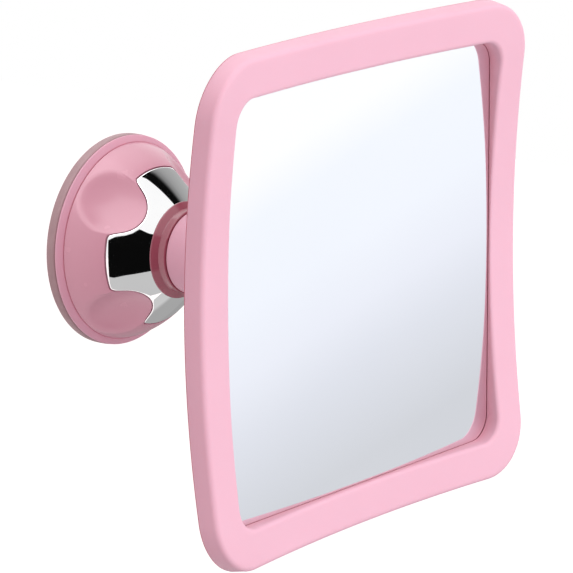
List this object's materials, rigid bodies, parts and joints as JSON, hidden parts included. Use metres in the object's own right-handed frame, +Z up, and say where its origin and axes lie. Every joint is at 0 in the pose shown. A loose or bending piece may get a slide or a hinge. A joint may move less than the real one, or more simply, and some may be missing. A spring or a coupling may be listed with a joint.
{
  "type": "fogless shower mirror",
  "caption": "Square dished shower mirror with a soft pink plastic frame, carried by a ball joint and a swivelling neck on a twist-lock suction mount for a smooth wall.",
  "frame": {"origin": "centre of the suction pad's flat face, on the wall", "axes": "+Y into the wall along the mount's axis, +Z up, +X to the right as the mirror is looked into; the mirror faces -Y"},
  "size_m": [0.2052, 0.1379, 0.2022],
  "materials": {
    "satin_pink_plastic": "satin pink moulded plastic",
    "gloss_pink_plastic": "glossy pink moulded plastic",
    "mauve_collar": "glossy dark mauve-pink",
    "chrome": "bright chrome plating on plastic",
    "grey_rubber": "soft grey rubber",
    "mirror_face": "silvered plate with a clear anti-fog coat",
    "white_inner_plastic": "natural white bearing plastic",
    "steel": "plain stainless steel",
    "grey_foam": "closed-cell foam",
    "clear_silicone": "clear silicone"
  },
  "bodies": {
    "mount": {"suction_pad": "grey_rubber", "base_housing": "satin_pink_plastic", "spring_plug": "steel", "return_spring": "steel"},
    "stud": {"lift_stud": "steel", "cross_pin": "steel"},
    "knob": {"knob_dome": "gloss_pink_plastic", "chrome_star": "chrome", "cam_ring": "white_inner_plastic", "thrust_washer": "white_inner_plastic"},
    "neck": {"neck_tube": "satin_pink_plastic", "neck_collar": "mauve_collar", "neck_bushing": "white_inner_plastic", "neck_clip": "steel", "ball_stud": "steel"},
    "liner": {"ball_liner": "white_inner_plastic"},
    "mirror": {"ball_socket": "white_inner_plastic", "socket_ring": "satin_pink_plastic", "socket_screw_1": "steel", "socket_screw_2": "steel", "socket_screw_3": "steel", "socket_screw_4": "steel", "rear_shell": "satin_pink_plastic", "front_frame": "satin_pink_plastic", "mirror_plate": "mirror_face", "foam_pad": "grey_foam", "perimeter_seal": "clear_silicone", "shell_screw_1": "steel", "shell_screw_2": "steel", "shell_screw_3": "steel", "shell_screw_4": "steel", "shell_screw_5": "steel", "shell_screw_6": "steel", "shell_screw_7": "steel", "shell_screw_8": "steel"}
  },
  "joints": [
    {"name": "knob_twist", "type": "hinge", "parent": "mount", "child": "knob", "pos_m": [0, -0.02, 0], "axis": [0, 1, 0], "range_deg": [0, 90]},
    {"name": "stud_lift", "type": "slide", "parent": "mount", "child": "stud", "axis": [0, -1, 0], "range_m": [0, 0.00298], "deforming": ["return_spring", "suction_pad"]},
    {"name": "neck_swivel", "type": "hinge", "parent": "mount", "child": "neck", "pos_m": [0, -0.05, 0], "axis": [0, 1, 0], "continuous": true},
    {"name": "mirror_tilt", "type": "hinge", "parent": "neck", "child": "liner", "pos_m": [0, -0.092, 0], "axis": [1, 0, 0], "range_deg": [-25, 25]},
    {"name": "mirror_pan", "type": "hinge", "parent": "liner", "child": "mirror", "pos_m": [0, -0.092, 0], "axis": [0, 0, 1], "range_deg": [-25, 25]}
  ],
  "couplings": [
    {"joint": "stud_lift", "follows": "knob_twist", "m_per_rad": 0.0019}
  ]
}
